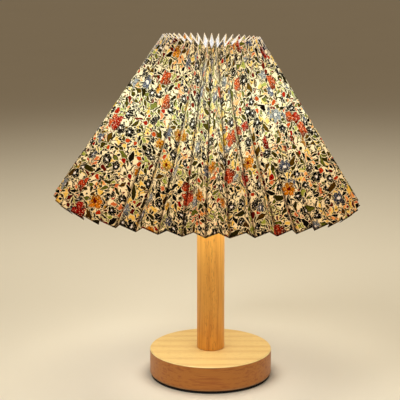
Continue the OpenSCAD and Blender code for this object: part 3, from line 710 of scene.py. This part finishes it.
class Finishes:
    """The lamp's finishes, each made once."""

    PAD = Plastic("pad", tone(10, 9, 9), 0.9, 0.08 * MM)
    BASE_WOOD = Wood(
        "base_wood", tone(241, 206, 133), tone(211, 155, 81), tone(166, 110, 55), Grain.ACROSS,
        heart=(150.0 * MM, 60.0 * MM), ring=15.0 * MM, contrast=0.36, flecks=0.2, band=60.0 * MM,
        # The side's tint: partly darker side wood, partly painted shade.
        side=Zone(tone(200, 146, 77), 26.2 * MM, 25.96 * MM),
        # Painted highlight along the top edge.
        rim=Zone((1.08, 1.26, 1.5, 1.0), 26.92 * MM, 26.76 * MM),
        # Painted shade on the lower chamfer above the pad.
        shoe=Zone((0.5, 0.32, 0.26, 1.0), 4.58 * MM, 3.94 * MM), fade=-0.35, streaks=4.0)
    COLUMN_WOOD = Wood(
        "column_wood", tone(255, 190, 86), tone(210, 123, 32), tone(156, 78, 16), Grain.UPRIGHT,
        heart=(3.0 * MM, -70.0 * MM), ring=3.4 * MM, contrast=0.4, flecks=0.32, band=9.0 * MM,
        # Painted shade: the column darkens towards its foot, away from the bulb.
        side=Zone((0.8, 0.68, 0.5, 1.0), 130.0 * MM, 10.0 * MM), streaks=1.8)
    BUSH = Plastic("bush", tone(34, 31, 29), 0.45)
    STEEL = Metal("steel", tone(196, 196, 192), 0.28)
    DARK_STEEL = Metal("dark_steel", tone(120, 120, 118), 0.36)
    NUT_BRASS = Metal("nut_brass", tone(206, 178, 96), 0.32)
    BLOCK_PLASTIC = Plastic("block_plastic", tone(240, 236, 224), 0.42)
    BRASS = Metal("brass", tone(214, 176, 84), 0.26)
    BROWN_INSULATION = Plastic("brown_insulation", tone(112, 66, 34), 0.48)
    BLUE_INSULATION = Plastic("blue_insulation", tone(54, 102, 168), 0.48)
    WHITE_PLASTIC = Plastic("white_plastic", tone(242, 240, 232), 0.34)
    INSULATOR = Plastic("insulator", tone(232, 226, 210), 0.5)
    FRAME_PAINT = Paint("frame_paint", tone(236, 234, 226))
    SOLDER = Metal("solder", tone(186, 186, 182), 0.42)
    BLACK_GLASS = Plastic("black_glass", tone(30, 26, 24), 0.16)
    CAP_METAL = Metal("cap_metal", tone(206, 202, 190), 0.3)
    BULB_PLASTIC = Plastic("bulb_plastic", tone(244, 242, 236), 0.36)
    GREEN_BOARD = Plastic("green_board", tone(44, 104, 66), 0.4)
    WHITE_BOARD = Plastic("white_board", tone(236, 236, 230), 0.35)
    DIFFUSER = Glow("diffuser", tone(255, 246, 222), 263.5 * MM, 285.0 * MM, 3.2)
    CLOTH = PrintedCloth()
    BACKING = Backing()

    def __init__(self) -> None:
        """Starts with nothing made."""
        self.made: dict[str, bpy.types.Material] = {}

    def get(self, finish: Any) -> bpy.types.Material:
        """The material of a finish, made the first time it is asked for."""
        if finish.name not in self.made:
            self.made[finish.name] = finish.make()
        return self.made[finish.name]

    def dress(self, part: str, looks: dict[str, Any]) -> None:
        """Gives each kept node of a part its finish in every slot."""
        for node, finish in looks.items():
            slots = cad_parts[node].data.materials
            slots.clear()
            slots.append(self.get(finish))
            LOG.info("%s: %s", part, node)


def surface(name: str, points: Array, closed: bool = False, looped: bool = False,
            flat: Array | None = None, values: dict[str, Array] | None = None) -> bpy.types.Object:
    """A surface from a grid of points.

    Args:
        name: The piece's name.
        points: Rows by columns by three.
        closed: True if the last column joins the first.
        looped: True if the last row joins the first.
        flat: Rows by columns, plus one where closed, by two: place on the flat cloth.
        values: Point attributes by name, rows by columns.

    Returns:
        The piece, smooth, with its place in its mesh.
    """
    rows, columns = points.shape[:2]
    high = np.arange(rows if looped else rows - 1)[:, None]
    left = np.arange(columns if closed else columns - 1)[None, :]
    low, right = (high + 1) % rows, (left + 1) % columns
    above, below = high * columns, low * columns
    rounds = (above + left, above + right, below + right, below + left)
    faces = np.stack([np.broadcast_to(r, (high.size, left.size)) for r in rounds], -1).reshape(-1, 4)
    mesh = bpy.data.meshes.new(name)
    mesh.vertices.add(rows * columns)
    mesh.vertices.foreach_set("co", points.astype(np.float32).ravel())
    mesh.loops.add(faces.size)
    mesh.loops.foreach_set("vertex_index", faces.astype(np.int32).ravel())
    mesh.polygons.add(len(faces))
    mesh.polygons.foreach_set("loop_start", np.arange(0, faces.size, 4, dtype=np.int32))
    mesh.polygons.foreach_set("use_smooth", np.ones(len(faces), dtype=bool))
    mesh.update(calc_edges=True)
    if flat is not None:
        above, below = high * flat.shape[1] + left, (high + 1) * flat.shape[1] + left
        rounds = (above, above + 1, below + 1, below)
        spots = np.stack([np.broadcast_to(r, (high.size, left.size)) for r in rounds], -1).reshape(-1)
        layer = mesh.uv_layers.new(name=Finishes.CLOTH.flat_map)
        layer.data.foreach_set("uv", flat.reshape(-1, 2)[spots].astype(np.float32).ravel())
    for key, numbers in (values or {}).items():
        layer = mesh.attributes.new(key, "FLOAT", "POINT")
        layer.data.foreach_set("value", numbers.astype(np.float32).ravel())
    mesh.validate()
    piece = bpy.data.objects.new(name, mesh)
    bpy.context.scene.collection.objects.link(piece)
    return piece


def turned(name: str, outline: Array, segments: int = 96) -> bpy.types.Object:
    """A closed ring of wall turned round the lamp's axis: each outline point goes round a circle.

    Args:
        name: The piece's name.
        outline: Points (radius, height) of a closed outline, clockwise seen with the axis at the left.
        segments: Steps round the axis.

    Returns:
        The piece.
    """
    angle = np.linspace(0.0, TURN, segments, endpoint=False)
    radius, height = outline[:, 0:1], outline[:, 1:2]
    points = np.stack([radius * np.cos(angle), radius * np.sin(angle), height + 0.0 * angle], -1)
    return surface(name, points, closed=True, looped=True)


@dataclass(frozen=True)
class Edge:
    """One cut edge of the skirt.

    Attributes:
        radius: Its radius, midway between outward and inward folds.
        height: Its height there.
        cut: How far outward folds stand above inward ones, halved.
        slip: Largest error of a fold's angle.
        shallow: Largest loss of a pleat's depth, as a share.
    """

    radius: float
    height: float
    cut: float
    slip: float
    shallow: float


@dataclass
class PleatedShade:
    """Pleated cloth skirt on its wire frame, which sits on the lampholder's seat.

    Attributes:
        pleats: Outward folds.
        panel: Width of the cloth from one fold to the next.
        crown: Its upper edge.
        hem: Its lower edge.
        cloth: Thickness of cloth and backing.
        rows: Points from crown to hem.
        bend: Half width of a fold's rounding, as a share of a panel.
        near: Columns beside a fold, in half widths of its rounding.
        wide: Columns between folds, as shares of a panel.
        ragged: Largest error in height of a fold's end.
        crown_slope: Fall of the crown's edge from front to back, as a slope.
        lean: Lean of the whole shade to one side.
        ring_z: Height of the crown ring, which the lean turns about.
        glow: Share, height and width of each hill of the bulb's light on the cloth.
        seed: Seed of the folds' small errors.
    """

    finishes: Finishes
    pleats: int = 41
    panel: float = 15.5 * MM
    crown: Edge = Edge(40.3 * MM, 330.0 * MM, 0.65 * MM, math.radians(0.35), 0.05)
    hem: Edge = Edge(143.2 * MM, 175.8 * MM, 0.45 * MM, math.radians(0.30), 0.06)
    cloth: float = 0.35 * MM
    rows: int = 50
    bend: float = 0.035
    near: tuple[float, ...] = (0.0, 0.85, 2.0)
    wide: tuple[float, ...] = (0.3, 0.5, 0.7)
    ragged: float = 0.35 * MM
    crown_slope: float = 0.028
    lean: float = math.radians(1.7)
    ring_z: float = 312.5 * MM
    glow: tuple[tuple[float, ...], ...] = ((0.55, 284.0 * MM, 48.0 * MM), (0.45, 262.0 * MM, 78.0 * MM))
    seed: int = 7

    @property
    def slant(self) -> float:
        """Length from crown to hem along the slope."""
        return math.hypot(self.hem.radius - self.crown.radius, self.crown.height - self.hem.height)

    def folds(self) -> tuple[Array, Array]:
        """Ends of every fold at the crown and at the hem.

        Fold k stands at an even angle from the back with a small seeded error. Even folds stand out
        by half the pleats' depth along the slope's normal and odd ones stand in. A cut edge stands a
        little higher at even folds than at odd ones, and the crown's edge falls towards the back.

        Returns:
            Points at the crown and at the hem, folds by three.
        """
        chance = np.random.default_rng(self.seed)
        count = 2 * self.pleats
        way = np.where(np.arange(count) % 2 == 0, 1.0, -1.0)
        across = (self.crown.height - self.hem.height) / self.slant
        along = (self.hem.radius - self.crown.radius) / self.slant
        ends = []
        for edge in (self.crown, self.hem):
            half = math.pi * edge.radius / self.pleats
            reach = math.sqrt(self.panel**2 - half**2) / 2.0
            reach = reach * (1.0 - edge.shallow * chance.random(count)) * way
            angle = math.pi / 2 + TURN * np.arange(count) / count
            angle = angle + edge.slip * chance.uniform(-1.0, 1.0, count)
            out = edge.radius + reach * across
            up = edge.height + reach * along + edge.cut * way
            up = up + self.ragged * chance.uniform(-1.0, 1.0, count)
            ends.append(np.stack([out * np.cos(angle), out * np.sin(angle), up], -1))
        ends[0][:, 2] -= self.crown_slope * ends[0][:, 1]
        return ends[0], ends[1]

    def bent(self, line: Array, steps: Array, round_share: float) -> Array:
        """Points across the panels of one zigzag, with each fold rounded.

        Between folds a point lies on the straight panel. Within round_share of a fold it is the mean
        of the zigzag over that width, which is a parabola.

        Args:
            line: Fold points round one height, rows by folds by three.
            steps: Places across a panel from 0 up to 1.
            round_share: Half width of the rounding, as a share of a panel.

        Returns:
            Rows by folds times steps by three.
        """
        ahead = np.roll(line, -1, axis=1)
        behind = np.roll(line, 1, axis=1)
        beyond = np.roll(line, -2, axis=1)
        out = []
        for t in steps:
            if t < round_share:
                rise = (ahead - line) * (round_share + t) ** 2 - (line - behind) * (round_share - t) ** 2
                out.append(line + rise / (4.0 * round_share))
            elif t > 1.0 - round_share:
                d = t - 1.0
                rise = (beyond - ahead) * (round_share + d) ** 2 - (ahead - line) * (round_share - d) ** 2
                out.append(ahead + rise / (4.0 * round_share))
            else:
                out.append(line + t * (ahead - line))
        grid = np.stack(out, 2)
        return grid.reshape(line.shape[0], -1, 3)

    def leant(self, points: Array) -> Array:
        """The points turned a little about Y through the crown ring, as the shade sits in use."""
        x, z = points[..., 0], points[..., 2] - self.ring_z
        c, s = math.cos(self.lean), math.sin(self.lean)
        return np.stack([c * x + s * z, points[..., 1], c * z - s * x + self.ring_z], -1)

    def light(self, height: Array) -> Array:
        """How strongly the bulb lights the cloth, 0 to 1, by height: smooth hills of light."""
        hills = [share * np.exp(-(((height - middle) / width) ** 2)) for share, middle, width in self.glow]
        return np.clip(np.sum(hills, axis=0), 0.0, 1.0)

    def skirt(self) -> bpy.types.Object:
        """The cloth: straight folds from crown to hem, rounded across, with its flat layout."""
        high, low = self.folds()
        share = np.linspace(0.0, 1.0, self.rows)[:, None, None]
        line = high + share * (low - high)
        inner = self.bend * np.array(self.near)
        steps = np.concatenate([inner, self.wide, 1.0 - inner[:0:-1]])
        points = self.leant(self.bent(line, steps, self.bend))
        count = 2 * self.pleats
        across = (np.arange(count)[:, None] + steps[None, :]).ravel()
        u = np.append(across, count) * self.panel
        v = (1.0 - share[:, 0, 0]) * self.slant
        flat = np.stack(np.broadcast_arrays(u[None, :], v[:, None]), -1)
        wave = 1.0 - 2.0 * np.abs((across + 1.0) % 2.0 - 1.0)
        fold = np.broadcast_to(wave, (self.rows, wave.size))
        piece = surface("pleated_cloth", points, closed=True, flat=flat,
                        values={"fold": fold, "light": self.light(points[..., 2])})
        piece.data.flip_normals()
        for finish in (Finishes.CLOTH, Finishes.BACKING):
            piece.data.materials.append(self.finishes.get(finish))
        wall = piece.modifiers.new("backing", "SOLIDIFY")
        wall.thickness = self.cloth
        wall.offset = -1.0
        wall.material_offset = 1
        wall.material_offset_rim = 0
        return piece

    def build(self) -> None:
        """Builds the skirt and dresses the frame."""
        skirt = self.skirt()
        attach(skirt, "shade")
        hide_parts("pleated_skirt")
        LOG.info("pleated cloth: %d folds", 2 * self.pleats)
        wires = ("crown_ring", "shade_arms", "fitter_washer")
        self.finishes.dress("frame", dict.fromkeys(wires, Finishes.FRAME_PAINT))


@dataclass
class WoodenStand:
    """Turned base and column with what clamps and wires them."""

    finishes: Finishes

    def build(self) -> None:
        """Dresses the stand's nodes."""
        f = Finishes
        self.finishes.dress("stand", {
            "foot_pad": f.PAD, "base_disc": f.BASE_WOOD, "column": f.COLUMN_WOOD, "cable_bush": f.BUSH,
            "clamping_tube": f.STEEL, "flat_washer": f.STEEL, "spring_washer": f.DARK_STEEL,
            "hex_nut": f.NUT_BRASS, "terminal_block": f.BLOCK_PLASTIC, "block_poles": f.BRASS,
            "block_pole_screws": f.STEEL, "block_wood_screw": f.STEEL,
            "live_wire": f.BROWN_INSULATION, "neutral_wire": f.BLUE_INSULATION,
        })


@dataclass
class Lampholder:
    """Screw lampholder with its contacts and its retaining ring."""

    finishes: Finishes

    def build(self) -> None:
        """Dresses the lampholder's nodes."""
        f = Finishes
        self.finishes.dress("lampholder", {
            "holder_cap": f.WHITE_PLASTIC, "holder_shell": f.WHITE_PLASTIC,
            "retaining_ring": f.WHITE_PLASTIC, "cap_lock_screw": f.STEEL, "insulator": f.INSULATOR,
            "screw_sleeve": f.BRASS, "centre_contact": f.BRASS, "neutral_strap": f.BRASS,
            "terminals": f.BRASS, "terminal_screws": f.STEEL,
        })


@dataclass
class CandleBulb:
    """Lit bulb with a screw cap, a plastic housing and a milky cover.

    Attributes:
        foot: Height of the cover's foot.
        top: Height of its tip.
        radius: Its widest radius.
        wall: Its thickness.
        rows: Points from foot to tip.
        crowding: How strongly the points crowd towards the tip.
        swell: Power of the height left to the tip.
        blunt: Power of the sine of that.
        tip: Radius of the pinhole left at the tip.
    """

    finishes: Finishes
    foot: float = 263.7 * MM
    top: float = 314.7 * MM
    radius: float = 18.5 * MM
    wall: float = 1.2 * MM
    rows: int = 48
    crowding: float = 1.6
    swell: float = 0.62
    blunt: float = 0.8
    tip: float = 0.01 * MM

    def side(self, inset: float) -> Array:
        """One face of the cover: its radius is a power of a sine of the height left to the tip.

        Args:
            inset: How far it lies inside the outer face.

        Returns:
            Points (radius, height) from foot to tip.
        """
        share = 1.0 - (1.0 - np.linspace(0.0, 1.0, self.rows)) ** self.crowding
        shape = np.sin(math.pi / 2 * (1.0 - share) ** self.swell) ** self.blunt
        radius = np.maximum((self.radius - inset) * shape, self.tip)
        return np.stack([radius, self.foot + (self.top - self.foot - inset) * share], -1)

    def cover(self) -> bpy.types.Object:
        """The milky cover, from its outer and inner faces."""
        piece = turned("bulb_cover", np.concatenate([self.side(0.0), self.side(self.wall)[::-1]]))
        piece.data.materials.append(self.finishes.get(Finishes.DIFFUSER))
        return piece

    def build(self) -> None:
        """Builds the cover and dresses the bulb's nodes."""
        cover = self.cover()
        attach(cover, "bulb")
        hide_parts("bulb_diffuser")
        f = Finishes
        self.finishes.dress("bulb", {
            "bulb_contact": f.SOLDER, "bulb_insulator": f.BLACK_GLASS, "bulb_screw_cap": f.CAP_METAL,
            "bulb_housing": f.BULB_PLASTIC, "bulb_driver": f.GREEN_BOARD, "led_board": f.WHITE_BOARD,
        })


@dataclass
class Studio:
    """Plain pale floor, soft lights, the bulb's light on the stand, and the camera.

    Attributes:
        distance: How far the camera stands in front of the lamp's axis.
        height: The camera's height.
        pitch: How far it looks down.
        yaw: How far it looks to the left.
        focal: Its focal length in millimetres.
        sensor: Width of its sensor in millimetres.
        floor_half: Half the floor's width.
    """

    distance: float = 1.2
    height: float = 0.436
    pitch: float = math.radians(12.22)
    yaw: float = math.radians(0.501)
    focal: float = 114.12
    sensor: float = 36.0
    floor_half: float = 14.0
    floor_z: float = -0.1 * MM
    floor_tone: Colour = tone(234, 226, 210)
    sky_tone: Colour = (0.80, 0.63, 0.42, 1.0)
    sky_power: float = 0.28

    def floor(self) -> None:
        """A wide plain floor just under the pad."""
        side = np.array([-self.floor_half, self.floor_half])
        points = np.stack(np.broadcast_arrays(side[None, :], side[::-1][:, None], self.floor_z), -1)
        piece = surface("floor", points[::-1])
        g = Graph("floor")
        mottle = g.noise(g.place(), 3.0, 3.0).outputs[0]
        colour = g.mix(mottle, self.floor_tone, dimmed(self.floor_tone, 0.96))
        g.finish(Base_Color=colour, Roughness=0.7)
        piece.data.materials.append(g.material)

    def lamp(self, name: str, place: Sequence[float], target: Sequence[float], size: float, power: float,
             colour: Sequence[float], cone: float | None = None) -> None:
        """One soft light aimed at a point and hidden from the camera.

        Args:
            name: The light's name.
            place: Where it stands.
            target: What it is aimed at.
            size: How wide it is.
            power: Its power in watts.
            colour: Its colour.
            cone: Full angle of its soft-edged cone, or None for a disc that lights all before it.
        """
        light = bpy.data.lights.new(name, "AREA" if cone is None else "SPOT")
        if cone is None:
            light.shape, light.size = "DISK", size
        else:
            light.shadow_soft_size, light.spot_size, light.spot_blend = size / 2.0, cone, 0.8
        light.energy, light.color = power, colour[:3]
        piece = bpy.data.objects.new(name, light)
        bpy.context.scene.collection.objects.link(piece)
        piece.location = place
        away = np.subtract(place, target)
        flat = math.hypot(away[0], away[1])
        piece.rotation_euler = (math.atan2(flat, away[2]), 0.0, math.atan2(away[0], -away[1]))
        piece.visible_camera = False

    def lights(self) -> None:
        """Soft pools of key, fill and top light, the bulb's light on the stand, and an even sky."""
        self.lamp("key", place=(-1.1, -1.2, 1.9), target=(0.0, 0.25, 0.0), size=1.0, power=74.0,
                  colour=(1.0, 0.99, 0.94), cone=math.radians(46.0))
        self.lamp("fill", place=(1.2, -1.0, 1.3), target=(0.0, 0.2, 0.0), size=1.0, power=26.0,
                  colour=(1.0, 0.97, 0.90), cone=math.radians(56.0))
        self.lamp("top", place=(0.0, 0.4, 2.3), target=(0.0, 0.4, 0.0), size=1.4, power=112.0,
                  colour=(1.0, 0.94, 0.76), cone=math.radians(54.0))
        self.lamp("under_shade", place=(0.0, 0.0, 0.205), target=(0.0, 0.0, 0.0), size=0.12, power=0.29,
                  colour=(1.0, 0.95, 0.84))
        world = bpy.data.worlds.new("studio")
        world.use_nodes = True
        sky = world.node_tree.nodes["Background"]
        sky.inputs["Color"].default_value = self.sky_tone
        sky.inputs["Strength"].default_value = self.sky_power
        bpy.context.scene.world = world

    def camera(self) -> None:
        """The camera at the photographed angle."""
        lens = bpy.data.cameras.new("camera")
        lens.lens, lens.sensor_width = self.focal, self.sensor
        piece = bpy.data.objects.new("camera", lens)
        bpy.context.scene.collection.objects.link(piece)
        piece.location = (0.0, -self.distance, self.height)
        piece.rotation_euler = (math.pi / 2 - self.pitch, 0.0, self.yaw)
        bpy.context.scene.camera = piece

    def build(self) -> None:
        """Sets the whole studio up."""
        self.camera()
        self.floor()
        self.lights()
        bpy.context.scene.view_settings.view_transform = "Standard"
        LOG.info("studio ready")


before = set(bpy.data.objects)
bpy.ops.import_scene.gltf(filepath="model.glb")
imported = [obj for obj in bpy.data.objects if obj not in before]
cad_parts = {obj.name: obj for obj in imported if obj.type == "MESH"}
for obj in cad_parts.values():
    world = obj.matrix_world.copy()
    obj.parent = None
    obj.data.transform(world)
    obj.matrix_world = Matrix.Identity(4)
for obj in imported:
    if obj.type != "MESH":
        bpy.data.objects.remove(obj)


def main() -> None:
    """Builds the studio and the lamp, piece by piece."""
    logging.basicConfig(level=logging.INFO, format="%(name)s: %(message)s")
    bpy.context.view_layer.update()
    Studio().build()
    finishes = Finishes()
    WoodenStand(finishes).build()
    Lampholder(finishes).build()
    CandleBulb(finishes).build()
    PleatedShade(finishes).build()


if __name__ == "__main__":
    main()
